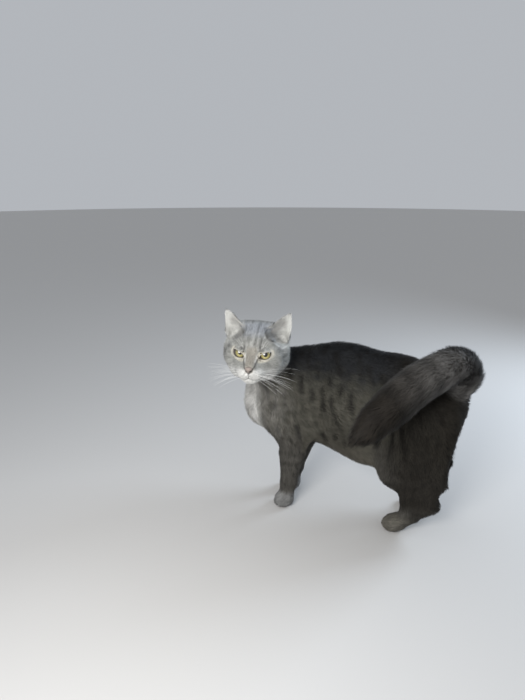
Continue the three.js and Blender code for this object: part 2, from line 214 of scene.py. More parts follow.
def tintedMaterial(name, row=None):  # takes its colour from the vertices
    roughness, sheen, specular, speckle, grain, bump, bumpGrain = materialPlan[row or name]
    material = bpy.data.materials.new(name)
    material.use_nodes = True
    shader = material.node_tree.nodes["Principled BSDF"]
    shader.inputs["Roughness"].default_value = roughness
    shader.inputs["Specular IOR Level"].default_value = specular
    shader.inputs["Sheen Weight"].default_value = sheen
    shader.inputs["Sheen Roughness"].default_value = 0.5
    nodes, links = material.node_tree.nodes, material.node_tree.links
    tint = nodes.new("ShaderNodeAttribute")
    tint.attribute_name = "tint"
    place = nodes.new("ShaderNodeTexCoord")
    noise = nodes.new("ShaderNodeTexNoise")
    noise.inputs["Scale"].default_value = grain
    noise.inputs["Detail"].default_value = 3
    links.new(place.outputs["Object"], noise.inputs["Vector"])
    shade = nodes.new("ShaderNodeMapRange")
    shade.inputs["To Min"].default_value = 1 - speckle
    shade.inputs["To Max"].default_value = 1 + speckle
    links.new(noise.outputs["Fac"], shade.inputs["Value"])
    mixer = nodes.new("ShaderNodeVectorMath")
    mixer.operation = "SCALE"
    links.new(tint.outputs["Color"], mixer.inputs[0])
    links.new(shade.outputs["Result"], mixer.inputs["Scale"])
    links.new(mixer.outputs["Vector"], shader.inputs["Base Color"])
    if bump:
        fine = nodes.new("ShaderNodeTexNoise")
        fine.inputs["Scale"].default_value = bumpGrain
        fine.inputs["Detail"].default_value = 2
        links.new(place.outputs["Object"], fine.inputs["Vector"])
        relief = nodes.new("ShaderNodeBump")
        relief.inputs["Strength"].default_value = 0.6
        relief.inputs["Distance"].default_value = bump * mm
        links.new(fine.outputs["Fac"], relief.inputs["Height"])
        links.new(relief.outputs["Normal"], shader.inputs["Normal"])
    return material


furMaterial = tintedMaterial("tabbyFur")
skinMaterial = tintedMaterial("tabbySkin")
lidMaterial = tintedMaterial("lidSkin")
leatherMaterial = tintedMaterial("noseLeather")
whiskerMaterial = tintedMaterial("whiskerHorn")


def eyeMaterial(name):
    material = tintedMaterial(name + "_wet", "wetEye")
    shader = material.node_tree.nodes["Principled BSDF"]
    shader.inputs["Coat Weight"].default_value = 1.0
    shader.inputs["Coat Roughness"].default_value = 0.03
    return material


# skin

skinPlan = {
    "voxel": 2.7,
    "pushOut": 0.45,  # closes the cuts between the solids before they are joined
    "fineNodes": ("head", "muzzle", "ear_left", "ear_right", "_paw"),  # twice as fine here
}

# For each part of the body: depth of the coat, tuft length and width, tufts per square millimetre,
# smoothing steps of the skin
coatPlan = {
    "head": (2.6, 7.5, 0.78, 1.0, 20),
    "muzzle": (0.9, 3.4, 0.52, 1.9, 12),
    "ear": (0.7, 3.4, 0.55, 1.3, 4),
    "neck": (8, 15, 1.15, 0.46, 40),
    "trunk": (6.5, 13, 1.1, 0.43, 60),
    "tail": (10, 21, 1.15, 0.5, 40),
    "upper": (5.5, 11.5, 1.05, 0.45, 80),
    "lower": (2.8, 8.0, 0.9, 0.54, 34),
    "paw": (1.5, 4.4, 0.7, 0.8, 9),
}
flesh = sorted(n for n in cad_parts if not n.startswith(("eye", "nose")))


def planOf(node):
    return next(row for key, row in coatPlan.items() if key in node)


def nodesWith(*keys):
    return [i for i, n in enumerate(flesh) if any(k in n for k in keys)]


class Surface:  # a skin as arrays, with each vertex's neighbours
    def __init__(self, places, faces):
        self.places = places
        self.faces = faces
        self.triangles = np.array([(f[0], f[i], f[i + 1]) for f in faces for i in range(1, len(f) - 1)])
        t = self.triangles
        pairs = np.concatenate([t[:, [0, 1]], t[:, [1, 2]], t[:, [2, 0]]])
        pairs = np.unique(np.sort(pairs, axis=1), axis=0)
        both = np.concatenate([pairs, pairs[:, ::-1]])
        both = both[np.argsort(both[:, 0], kind="stable")]
        self.here, self.other = both.T
        self.first = np.searchsorted(self.here, np.arange(len(places)))
        self.valence = np.diff(np.append(self.first, len(both)))[:, None]

    def average(self, values):
        return np.add.reduceat(values[self.other], self.first) / self.valence

    def spread(self, values, steps):
        flat = values.ndim == 1
        values = values[:, None] if flat else values
        for _ in range(steps):
            values = (values + self.average(values)) / 2
        return values[:, 0] if flat else values

    def smooth(self, steps):  # as many steps as each vertex asks for
        def evened(values):
            for step in range(int(steps.max())):
                active = np.clip(steps - step, 0, 1)[:, None]
                values = values + 0.55 * active * (self.average(values) - values)
            return values

        once = evened(self.places)
        twice = once + evened(self.places - once)  # what the smoothing took is given back, twice
        self.places = twice + evened(self.places - twice)

    def relax(self, weight, steps, rate=0.5):  # plain smoothing where the weight is above 0
        for _ in range(steps):
            self.places = self.places + rate * weight[:, None] * (self.average(self.places) - self.places)

    def normals(self):
        a, b, c = (self.places[self.triangles[:, i]] for i in range(3))
        n = np.cross(b - a, c - a)
        out = np.zeros_like(self.places)
        for i in range(3):
            for axis in range(3):
                out[:, axis] += np.bincount(self.triangles[:, i], n[:, axis], len(out))
        return unit(out)

    def along(self, lie, distance):  # the vertex reached by walking that far down the lie
        step = self.places[self.other] - self.places[self.here]
        reach = np.linalg.norm(step, axis=1)
        score = (step * lie[self.here]).sum(1) / np.maximum(reach, 1e-6)
        order = np.lexsort((-score, self.here))
        best = order[self.first]  # the neighbour that lies nearest to the lie
        ahead, stride = self.other[best], reach[best]
        at = np.arange(len(self.places))
        walked = np.zeros(len(at))
        for _ in range(12):
            moving = walked + stride[at] / 2 < distance
            walked = walked + np.where(moving, stride[at], 0)
            at = np.where(moving, ahead[at], at)
        return at


def solidsTree():
    points, faces, owner = [], [], []
    for index, node in enumerate(flesh):
        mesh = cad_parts[node].data
        mesh.calc_loop_triangles()
        start = sum(map(len, points))
        points.append(np.array([v.co for v in mesh.vertices]) / mm)
        faces += [tuple(start + i for i in t.vertices) for t in mesh.loop_triangles]
        owner += [index] * len(mesh.loop_triangles)
    return BVHTree.FromPolygons(np.concatenate(points).tolist(), faces), np.array(owner)


def joinedSolids():
    joined = bmesh.new()
    for node in flesh:
        one = bmesh.new()
        one.from_mesh(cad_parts[node].data)
        bmesh.ops.remove_doubles(one, verts=one.verts, dist=1e-6)
        one.normal_update()
        for v, n in [(v, v.normal.copy()) for v in one.verts]:
            v.co += n * skinPlan["pushOut"] * mm
        part = bpy.data.meshes.new(node + "Part")
        one.to_mesh(part)
        one.free()
        joined.from_mesh(part)
        bpy.data.meshes.remove(part)
    mesh = bpy.data.meshes.new("solids")
    joined.to_mesh(mesh)
    joined.free()
    holder = bpy.data.objects.new("solids", mesh)
    bpy.context.scene.collection.objects.link(holder)
    voxels = holder.modifiers.new("voxels", "REMESH")
    voxels.mode = "VOXEL"
    voxels.voxel_size = skinPlan["voxel"] * mm
    whole = bpy.data.meshes.new_from_object(holder.evaluated_get(bpy.context.evaluated_depsgraph_get()))
    bpy.data.objects.remove(holder)
    return whole


def largestPart(work):  # drops what the joining left inside
    seen, best = set(), set()
    for start in work.verts:
        if start.index in seen:
            continue
        stack, group = [start], {start.index}
        while stack:
            for edge in stack.pop().link_edges:
                for v in edge.verts:
                    if v.index not in group:
                        group.add(v.index)
                        stack.append(v)
        seen |= group
        best = max(best, group, key=len)
    bmesh.ops.delete(work, geom=[v for v in work.verts if v.index not in best], context="VERTS")


def roughSkin(tree, owner):
    work = bmesh.new()
    work.from_mesh(joinedSolids())
    largestPart(work)
    fine = set()
    for f in work.faces:
        node = flesh[owner[tree.find_nearest(f.calc_center_median() / mm)[2]]]
        if any(key in node for key in skinPlan["fineNodes"]):
            fine.update(f.edges)
    bmesh.ops.subdivide_edges(work, edges=list(fine), cuts=1, use_grid_fill=True)
    work.verts.index_update()
    places = np.array([v.co for v in work.verts]) / mm
    faces = [[v.index for v in f.verts] for f in work.faces]
    work.free()
    return Surface(places, faces)


tree, owner = solidsTree()
skin = roughSkin(tree, owner)
print("skin joined:", len(skin.places), "vertices,", len(skin.triangles), "triangles")

label = np.array([owner[tree.find_nearest(p)[2]] for p in skin.places.tolist()])
planRows = np.array([planOf(n) for n in flesh], float)[label]
skin.smooth(skin.spread(planRows[:, 4], 6))
outer = skin.places.copy()  # the outside of the coat
outNormal = skin.normals()
plan = skin.spread(planRows, 10)
print("skin smoothed")


def share(*keys):  # 1 on the nodes whose names hold a key, soft at their edges
    return skin.spread(np.isin(label, nodesWith(*keys)).astype(float), 8)


# what is evened out of the solids before the skin draws in
fills = {
    "earFront": {"place": (2, 32, 26), "size": (16, 17, 20), "steps": 26},  # in the head's frame
    "hock": {"place": (172, 99, 88), "stretch": (1, 0.5, 0.6), "reach": (14, 28), "steps": 90},
}
faceLocal = toHead(skin.places)
earAway = (np.abs(faceLocal) - fills["earFront"]["place"]) / fills["earFront"]["size"]
earFront = np.linalg.norm(earAway, axis=1)
skin.relax(np.isin(label, nodesWith("head")) * (1 - ramp(earFront, 0.7, 1.1)), fills["earFront"]["steps"])
hockAway = (skin.places - fills["hock"]["place"]) * fills["hock"]["stretch"]
skin.relax(1 - ramp(np.linalg.norm(hockAway, axis=1), *fills["hock"]["reach"]), fills["hock"]["steps"])

# how deep the skin lies under the outside of the coat
coatExtra = {"cheek": 4, "chest": 2, "faceAtMost": 1.1}
isHead = np.isin(label, nodesWith("head", "muzzle"))
isEar = np.isin(label, nodesWith("ear_"))
headShare = share("head", "muzzle", "ear_")
depth = plan[:, 0].copy()
headX, headY, headZ = faceLocal.T
side = np.abs(headY)
cheeks = headShare * ramp(side, 27, 42) * ramp(-headZ, -10, 8) * (1 - ramp(headX, 4, 20))
depth += cheeks * coatExtra["cheek"]
front = headShare * ramp(headX, 8, 24)
depth = depth * (1 - front) + np.minimum(depth, coatExtra["faceAtMost"]) * front
chest = share("trunk", "neck") * ramp(-skin.places[:, 0], 120, 165) * (1 - headShare)
depth += chest * coatExtra["chest"]
depth = skin.spread(depth, 4)
skin.places = skin.places - skin.normals() * depth[:, None]
skin.smooth(np.where(isEar, 1, np.where(isHead, 3, 10)).astype(float))


# eyes and their lids

eyeShape = {
    "centre": np.array([21, 19.5, 4]),  # in the head's frame, the left eye
    "radius": 10.6,
    "gaze": (0.942, 0.178, 0.286),  # where both eyes look, in the head's frame
    "cornea": 1.1,  # how far it stands out of the ball
    "iris": 8.3,
    "pupil": (3.2, 3.7),  # half its width and height
    "irisColour": (0.215, 0.180, 0.060),
    "irisInner": (0.30, 0.265, 0.105),
    "limbus": (0.030, 0.024, 0.014),
    "white": (0.060, 0.042, 0.032),
}
lidShape = {
    "orbit": (0.95, 0.25, 0.10),  # the middle of the opening as seen from the ball's centre
    "slant": 25,  # degrees, inner corner low
    "outward": 8.8, "inward": 10.2, "up": 4.4, "down": 5.9,
    "liner": (0.030, 0.026, 0.024),
    "rim": (0.50, 0.47, 0.40),
    "thick": 1.0,
    # share of the opening's size and height above the ball for each ring of the lid
    "rings": ((0.95, -0.5), (0.985, 0.3), (1.02, 0.9), (1.09, 1.3), (1.19, 1.3), (1.32, 1.0)),
    "skinRings": ((1.45, 0.35), (1.60, 0.0), (1.74, -0.9)),  # the same, but above the skin
}
eyeBed = {
    "sink": 1.12,  # share of the opening inside which the skin lies behind the ball
    "behind": 15, "around": 22,  # how far from the ball's centre skin is moved
    "clear": 0.9,  # gap over the lids' thickness
    "moved": 3.5, "softFrom": 1.3, "softTo": 3.2,  # shares of the opening
    "rounds": 5,
}


def ballReach(local):  # from the ball's centre to its surface, in directions of the head's frame
    off = np.arccos(np.clip(unit(local) @ unit(np.array(eyeShape["gaze"])), -1, 1))
    return eyeShape["radius"] + eyeShape["cornea"] * (1 - ramp(off * eyeShape["radius"], 5.5, 9.5))


def lidAxes(s):
    axis = unit(np.array(lidShape["orbit"]) * (1, s, 1))
    outward = np.array([0, s, 0]) - axis * axis[1] * s
    outward = unit(outward)
    upward = np.array([0, 0, 1]) - axis * axis[2]
    upward = unit(upward - outward * (upward @ outward))
    t = math.radians(lidShape["slant"])
    return axis, outward * math.cos(t) + upward * math.sin(t), upward * math.cos(t) - outward * math.sin(t)


def opening(angle):  # the edge of the almond between the lids, angle 0 at the outer corner
    c, v = np.cos(angle), np.sin(angle)
    across = np.where(c > 0, lidShape["outward"], lidShape["inward"]) * c
    along = np.where(v > 0, lidShape["up"], lidShape["down"]) * v * np.abs(v) ** 0.18
    return across, along - 1.5 * ramp(-c, 0.7, 1)


def lidShare(local, s):  # 1 on the edge of the lids, more outside it, and how far in front of the ball
    axis, corner, rise = lidAxes(s)
    away = local - eyeShape["centre"] * (1, s, 1)
    across, along, ahead = away @ corner, away @ rise, away @ axis
    edge = np.linalg.norm(opening(np.arctan2(along * 1.35, across)), axis=0)
    return np.hypot(across, along) / edge, ahead, axis


def roundEyes():  # lifts the skin over the balls, sinks it behind the opening, gives the share
    local = toHead(skin.places)
    region = np.full(len(local), 9.0)
    for s in (1, -1):
        rho, ahead, axis = lidShare(local, s)
        away = local - eyeShape["centre"] * (1, s, 1)
        reach = np.linalg.norm(away - ahead[:, None] * axis, axis=1)
        here = (ahead > -eyeBed["behind"]) & (reach < eyeBed["around"])
        region = np.where(here, np.minimum(region, rho), region)
        onBall = np.sqrt(np.maximum(eyeShape["radius"] ** 2 - reach ** 2, 1))
        swell = ballReach(away + (onBall - ahead)[:, None] * axis) + lidShape["thick"] + eyeBed["clear"]
        overBall = np.sqrt(np.maximum(swell ** 2 - reach ** 2, 0))
        over = np.maximum(ahead, np.where(reach < swell, overBall, ahead))
        wanted = np.where(rho < eyeBed["sink"], np.minimum(ahead, -1), over)
        local = local + np.where(here, wanted - ahead, 0)[:, None] * axis
    return local, region


local, eyeRegion = roundEyes()
moved = (eyeRegion < eyeBed["moved"])[:, None]
skin.places = np.where(moved, fromHead(local), skin.places)
soften = skin.spread(((eyeRegion > eyeBed["softFrom"]) & (eyeRegion < eyeBed["softTo"])).astype(float), 2)
for _ in range(eyeBed["rounds"]):
    skin.relax(soften, 1, 0.4)
    skin.places = np.where(moved, fromHead(roundEyes()[0]), skin.places)

# the mouth, the split lip and the cuts between the toes are pressed in along the normal
mouthLine = ((0, -28.5), (6, -31.0), (12, -30.6), (18, -28), (24, -25))  # side, height
mouthDepth = 1.0
toeCuts = {"spacing": 7.6, "depth": 1.5, "width": 1.5, "shadeInCuts": 0.55}
floorGap = {"skin": 0.25, "coat": 0.2}  # nothing reaches lower than this above the floor
local = toHead(skin.places)
fx, fy, fz = local.T
mouthHeight = np.interp(np.abs(fy), *zip(*mouthLine))
mouth = near(fz, mouthHeight, 0.9) * (fx > 18) * (1 - ramp(np.abs(fy), 19, 25)) * (np.abs(fy) < 26)
lip = near(fy, 0, 0.7) * ramp(-fz, 17, 20) * (1 - ramp(-fz, 27, 29)) * (fx > 36)
creases = np.clip(mouth + lip, 0, 1)
toes = np.zeros(len(local))
for node in (n for n in flesh if "_paw" in n):
    low, high = (np.array(corner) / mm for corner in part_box(node))
    here = label == flesh.index(node)
    across = skin.places[:, 1] - (low[1] + high[1]) / 2
    nearest = np.clip(np.round(across / toeCuts["spacing"]), -1, 1) * toeCuts["spacing"]
    cut = near(across, nearest, toeCuts["width"]) * (1 - ramp(skin.places[:, 0], low[0] + 13, low[0] + 24))
    toes = np.maximum(toes, cut * here * (1 - ramp(skin.places[:, 2], 16, 21)))
skin.places = skin.places - skin.normals() * (mouthDepth * creases + toeCuts["depth"] * toes)[:, None]
skin.places[:, 2] = np.maximum(skin.places[:, 2], floorGap["skin"])
skinNormal = skin.normals()
skinTree = BVHTree.FromPolygons(skin.places.tolist(), skin.triangles.tolist())
print("skin sculpted")


# the lie of the coat

tailLine = np.array([
    (150, 2, 226), (165, 0, 262), (156, -36, 292), (119, -88, 283), (84, -132, 254), (56, -166, 225),
], float) + shift


def combDirections():
    comb = np.zeros_like(skin.places)
    for index, node in enumerate(flesh):
        here = label == index
        q = outer[here]
        if "tail" in node:
            spans = np.diff(tailLine, axis=0)
            middles = (tailLine[1:] + tailLine[:-1]) / 2
            weight = np.exp(-(np.linalg.norm(q[:, None] - middles, axis=2) / 30) ** 2) + 1e-9
            comb[here] = unit((weight[:, :, None] * unit(spans)).sum(1))
        elif "ear" in node:
            s = 1 if node.endswith("left") else -1
            comb[here] = np.array([-0.2, s * 0.35, 0.9]) @ headAxes.T
        elif node in ("head", "muzzle"):
            f = toHead(q)
            flow = unit(f - np.array([70, 0, -12]))
            flow[:, 2] -= 0.5 * ramp(np.abs(f[:, 1]), 15, 40) * ramp(-f[:, 2], -20, 20)
            for s in (1, -1):  # round the eyes the coat lies away from the lids
                away = f - eyeShape["centre"] * (1, s, 1)
                close = np.exp(-(np.linalg.norm(away[:, 1:], axis=1) / 15) ** 4) * (f[:, 0] > 5)
                flow += unit(away) * close[:, None] * 1.6
            comb[here] = flow @ headAxes.T
        elif node == "neck":
            comb[here] = (-0.1, 0.55, -0.8)
        elif node == "trunk":
            breast = ramp(-q[:, 0], 105, 165)[:, None]
            comb[here] = np.array([0.92, 0, -0.34]) * (1 - breast) + np.array([0.1, 0, -1]) * breast
        elif "paw" in node:
            comb[here] = (-0.9, 0, -0.35)
        elif "lower" in node:
            comb[here] = (0.1, 0, -1)
        else:
            comb[here] = (0.45, 0, -0.85)
    comb = skin.spread(comb, 25)
    sway = np.stack([ripple(outer, 34, seed) for seed in (41, 42, 43)], 1)
    comb = comb + 0.16 * sway * (1 - headShare[:, None])
    comb -= skinNormal * (comb * skinNormal).sum(1)[:, None]
    return unit(comb)


comb = combDirections()
print("coat combed")


# markings, with painted light and painted shade, the same for skin and coat

# The flank, belly and leg colours are darker than the head's: partly the coat's own tone, partly painted
# shade over the body. The rump is painted darker still as painted shade.
tabby = {
    "slate": (0.017, 0.018, 0.020),  # top of the back
    "flank": (0.074, 0.071, 0.058),
    "stripe": (0.010, 0.009, 0.008),
    "belly": (0.118, 0.108, 0.088),
    "shoulder": (0.27, 0.26, 0.24),
    "head": (0.325, 0.327, 0.308),
    "crown": (0.40, 0.42, 0.45),
    "headStripe": (0.12, 0.118, 0.115),
    "cheek": (0.42, 0.42, 0.405),
    "white": (0.72, 0.715, 0.69),
    "bib": (0.93, 0.92, 0.89),
    "cream": (0.70, 0.65, 0.53),
    "bridge": (0.335, 0.312, 0.272),
    "liner": (0.045, 0.040, 0.037),
    "earInside": (0.65, 0.65, 0.62),
    "earBack": (0.17, 0.165, 0.16),
    "tailRoot": (0.175, 0.168, 0.16),
    "tailEnd": (0.027, 0.023, 0.019),
    "leg": (0.078, 0.074, 0.067),
    "rumpShaded": (0.015, 0.0125, 0.0095),
    "paw": (0.215, 0.215, 0.21),
    "pads": (0.06, 0.05, 0.047),
}


noseLines = ((-4, 11.5), (1, 10.8), (8, 8.8), (14, 5.2), (17, 2.8), (19.5, 0.3))  # drop, side
cupShape = {  # the left ear, in the head's frame
    "inner": (3, 16, 33), "tip": (-10, 51, 64), "outerBase": (-14, 48, 12),
    "well": (-16, 36, 26),  # the middle of the hollow
}
bodyPattern = {
    "barSpacing": 16.5, "barLean": 0.22, "barStrength": 0.92,
    "ringSpacing": 21, "hoopSpacing": 34,
    "slate": (220, 266), "belly": (108, 158),  # heights over which they come in
    "bibFade": (5, 55),  # y over which the bib fades to a fifth of its strength
    "tailRun": (-0.62, -0.75, -0.25), "tailDarkens": (-175, -35),
}


def earCup():  # what lies in the cup of an ear, and what is on its back
    inner, tip, outerBase = (np.array(cupShape[key], float) for key in ("inner", "tip", "outerBase"))
    ahead = unit(np.cross(outerBase - inner, tip - inner))
    mirror = np.where(faceLocal[:, 1:2] < 0, (1, -1, 1), (1, 1, 1))  # both ears as the left one
    q, n = faceLocal * mirror, outNormal @ headAxes * mirror
    edges = np.stack([tip - inner, outerBase - inner], 1)
    u, v = np.linalg.lstsq(edges, (q - inner).T, rcond=None)[0]
    cup = ramp(u, -0.22, -0.02) * ramp(v, -0.12, 0.04) * (1 - ramp(u + v, 1.1, 1.25))
    height, facing = (q - inner) @ ahead, n @ ahead
    ears = share("ear_")
    # the hollow in front of the ear and its deep middle are painted in the pale inside colour: partly pale
    # ear hair, partly painted light against the shade of the hollow
    hollow = cup * ramp(height, -3, 2) * (1 - ramp(height, 15, 21)) * (q[:, 0] < 22)
    behind = ramp(-facing, -0.1, 0.4) * ramp(-height, -2, 3)
    deep = (1 - ramp(np.linalg.norm(q - cupShape["well"], axis=1), 12, 20)) * ramp(facing, -0.5, 0.1)
    inside = np.clip(np.maximum(ears * (1 - behind), hollow * ramp(-facing, -0.9, 0.1)), 0, 1)
    inside = np.maximum(inside, deep)
    rooted = inside * (1 - ramp(u, 0.35, 0.62)) * (1 - ramp(v, 0.25, 0.50))
    return inside, ears * behind, rooted


def layered(base, layers):  # named colours, each laid over those before it
    colour = np.tile(np.array(tabby[base]), (len(outer), 1))
    for name, amount in layers:
        colour = blendTo(colour, tabby[name], amount)
    return colour


def bodyMarkingsAndShade():
    p, n, pattern = outer, outNormal, bodyPattern
    x, y, z = p.T
    mottle = ripple(p, 16, 3)
    swing = x + pattern["barLean"] * (z - 180) + 6 * ripple(p, 80, 5)  # upright bars on the flanks
    wave = np.sin(swing * tau / pattern["barSpacing"])
    broken = ramp(ripple(p * (1, 1, 0.62), 24, 8), -0.55, 0.35)
    body = share("trunk", "neck", "upper")
    bars = body * ramp(wave, -0.1, 0.6) * broken * ramp(z, 112, 140) * pattern["barStrength"]
    between = ramp(-wave, 0.35, 0.95) * ramp(-z, -226, -205) * ramp(z, 120, 150)
    fore = share("trunk", "neck", "front") * ramp(-x, 70, 125) * ramp(z, 95, 130) * (1 - ramp(z, 205, 240))
    bib = share("trunk", "neck") * ramp(-x, 112, 166) * ramp(-n[:, 0], -0.3, 0.6)
    bib = bib * (1 - 0.8 * ramp(y + 10 * mottle, *pattern["bibFade"]))
    ruffle = 0.8 + 0.25 * ripple(p * (1, 1, 0.6), 26, 14)
    legs, feet, tailShare = share("lower", "upper"), share("paw"), share("tail")
    turn = z * tau / pattern["ringSpacing"] + 1.6 * ripple(p, 45, 12)
    rings = ramp(np.sin(turn), 0.2, 0.9) * legs
    rings = rings * ramp(ripple(p, 30, 15), -0.8, 0.4)
    # the hindquarters are painted darker: partly the coat's own tone, partly painted shade of the hind half
    rearShade = np.maximum(ramp(x, 45, 105) * ramp(z, 30, 60), 0.8 * ramp(x, 104, 124)) * (1 - tailShare)
    colour = layered("flank", (
        ("slate", ramp(z + 8 * mottle, *pattern["slate"])),
        ("belly", 0.8 * (1 - ramp(z + 4 * mottle, *pattern["belly"]))),
        ("stripe", bars),
        ("belly", body * between * 0.4),
        ("shoulder", 0.6 * fore * (0.7 + 0.3 * mottle)),
        ("bib", bib * ruffle),
        ("leg", legs * (1 - ramp(z, 105, 170)) * 0.85),
        ("stripe", 0.4 * rings * (1 - ramp(z, 120, 165))),
        # the front paws are pale; the hind paws keep the darker leg colour, partly as painted shade of the
        # hind half
        ("paw", feet * (1 - 0.9 * ramp(x, 20, 60))),
        ("rumpShaded", 0.88 * rearShade),
        ("pads", feet * ramp(-n[:, 2], 0.5, 0.85) * (z < 6)),
    ))
    along = p @ unit(np.array(pattern["tailRun"]))
    tail = layered("tailRoot", (("tailEnd", ramp(along, *pattern["tailDarkens"])),))
    colour = colour + (tail - colour) * tailShare[:, None]
    hoops = ramp(np.sin(along * tau / pattern["hoopSpacing"]), 0.0, 0.8)
    colour = blendTo(colour, tabby["stripe"], 0.5 * tailShare * hoops)
    return colour * (1 + 0.08 * mottle[:, None])


def headMarkingsAndLight():
    x, y, z = faceLocal.T
    s = np.abs(y)
    patchy = ramp(ripple(faceLocal * (1, 1, 0.5), 13, 33), -0.7, 0.5)
    lines = near(s, 4.2 + 0.08 * (z - 20), 1.5) + near(s, 12.5 + 0.14 * (z - 20), 1.8)
    brow = near(s, 12.6, 1.5) * ramp(z, 8, 11) * (1 - ramp(z, 17, 21)) * (x > 8)  # over each inner corner
    streak = near(s, 16.4, 1.3) * ramp(z, 9, 12) * (1 - ramp(z, 19, 25)) * (x > 5)
    streak += near(s, 9.2, 0.9) * ramp(z, 9, 14) * (1 - ramp(z, 20, 26)) * (x > 5)
    streak += near(s, 1.6, 0.8) * ramp(z, 13, 17) * (1 - ramp(z, 24, 30)) * (x > 5)
    swirl = np.sin((z + 0.35 * x + 3) * tau / 15) * ramp(s, 24, 33) * (1 - ramp(x, 12, 26))
    drop = np.clip(z + 14, 0, 30)
    bridge = 1 - ramp(s, 4.6 + 0.10 * drop, 7.4 + 0.14 * drop)
    bridge = bridge * ramp(x, 18, 28) * ramp(z, -20, -17) * (1 - ramp(z, 12, 20))
    noseLine = np.interp(-z, *zip(*noseLines))
    inner = near(s, noseLine - 2.4, 1.2) * ramp(z, -6, -2) * (1 - ramp(z, 4, 9))
    liner = near(s, noseLine, 1.25) * (x > 22) * (1 - ramp(z, -1, 2))
    inside, behindEar, _ = earCup()
    return layered("head", (
        ("headStripe", 0.35 * ramp(ripple(faceLocal, 9, 21), 0.2, 1.2)),
        ("crown", ramp(z, 24, 40) * ramp(x, -25, 0)),
        ("headStripe", np.clip(lines, 0, 1) * ramp(z, 11, 18) * patchy * 0.75),
        ("liner", 0.7 * brow),
        ("white", 0.5 * np.clip(streak, 0, 1)),
        ("slate", 0.8 * ramp(-x, 22, 50)),
        ("headStripe", 0.55 * ramp(swirl, 0.2, 0.85) * (z < 14)),
        ("cheek", ramp(-z, 8, 22) * ramp(x, -12, 14)),
        ("white", 0.95 * ramp(-z, 11, 17) * (1 - ramp(s, 13, 25)) * ramp(x, 10, 26)),
        ("bridge", 0.85 * bridge),
        ("cream", 0.5 * ramp(1.75 - eyeRegion, 0, 0.35) * ramp(x, 12, 22)),
        ("white", 0.7 * inner * (x > 22)),
        ("liner", 0.9 * liner * ramp(z, -21, -19.5)),
        ("liner", 0.8 * creases),
        ("earBack", behindEar),
        # pale ear hair, with painted light in the ear's hollow
        ("earInside", inside),
    ))


long = plan[:, 1].copy()


def streaks():  # chance lights and darks drawn out along the lie of the coat
    grain = np.random.default_rng(17).normal(size=len(outer))
    drawn = sum(grain[skin.along(comb, reach)] for reach in np.linspace(0, 1, 6)[:, None] * long / 0.8)
    return drawn / drawn.std()


def markingsLightAndShade():
    onHead = share("head", "muzzle", "ear_")[:, None]
    own = bodyMarkingsAndShade() * (1 - onHead) + headMarkingsAndLight() * onHead
    strength = 0.13 - 0.12 * isEar - 0.06 * share("muzzle")
    return np.clip(own * np.clip(1 + strength * streaks(), 0.45, 1.7)[:, None], 0.008, 0.95)


coatColour = markingsLightAndShade()
# the skin in the cuts between the toes is painted darker, as painted shade in the cuts
skinColour = coatColour * (1 - toeCuts["shadeInCuts"] * toes[:, None])
skinPiece = placeMesh("cat_skin", skin.places, skin.faces, skinMaterial)
paint(skinPiece.data, skinColour)
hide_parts(*flesh)
print("markings done")


def buildEye(name, s, columns=96, rows=56):
    ball = eyeShape["radius"]
    gaze = unit(np.array(eyeShape["gaze"]))
    across = unit(np.cross(gaze, (0, 0, 1)))
    rise = np.cross(across, gaze)
    theta = math.pi * np.linspace(0, 1, rows) ** 1.35
    theta[0] = 1e-3
    theta[-1] = math.pi - 1e-3
    phi = np.arange(columns) * tau / columns
    th, ph = (g.ravel() for g in np.meshgrid(theta, phi, indexing="ij"))
    u, v = np.sin(th) * np.cos(ph), np.sin(th) * np.sin(ph)
    way = gaze * np.cos(th)[:, None] + across * u[:, None] + rise * v[:, None]
    local = ballReach(way)[:, None] * way
    r = th * ball  # distance from the middle of the pupil along the ball
    die = np.random.default_rng(5)
    fibres = die.uniform(0.72, 1.25, columns)
    fibres = np.tile((fibres + np.roll(fibres, 1)) / 2, rows)
    edge = 1 / np.hypot(np.cos(ph) / eyeShape["pupil"][0], np.sin(ph) / eyeShape["pupil"][1])
    colour = np.array(eyeShape["irisInner"]) * np.ones((len(r), 1))
    colour = blendTo(colour, eyeShape["irisColour"], ramp(r, 4.0, 7.0))
    # the iris is painted darker at the top and lighter at the bottom, as painted shade from the upper lid
    colour = colour * (fibres * (0.95 - 0.45 * v / np.maximum(np.sin(th), 0.01)))[:, None]
    colour = blendTo(colour, eyeShape["limbus"], ramp(r, eyeShape["iris"] - 1.5, eyeShape["iris"]))
    colour = blendTo(colour, eyeShape["white"], ramp(r, eyeShape["iris"] + 0.8, eyeShape["iris"] + 2))
    colour = blendTo(colour, (0.004, 0.004, 0.005), 1 - ramp(r, edge - 0.2, edge + 0.25))
    places = fromHead(local + eyeShape["centre"] * (1, s, 1))
    piece = placeMesh(name, places, np.array(gridFaces(rows, columns)), eyeMaterial(name))
    paint(piece.data, colour)
    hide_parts(name)


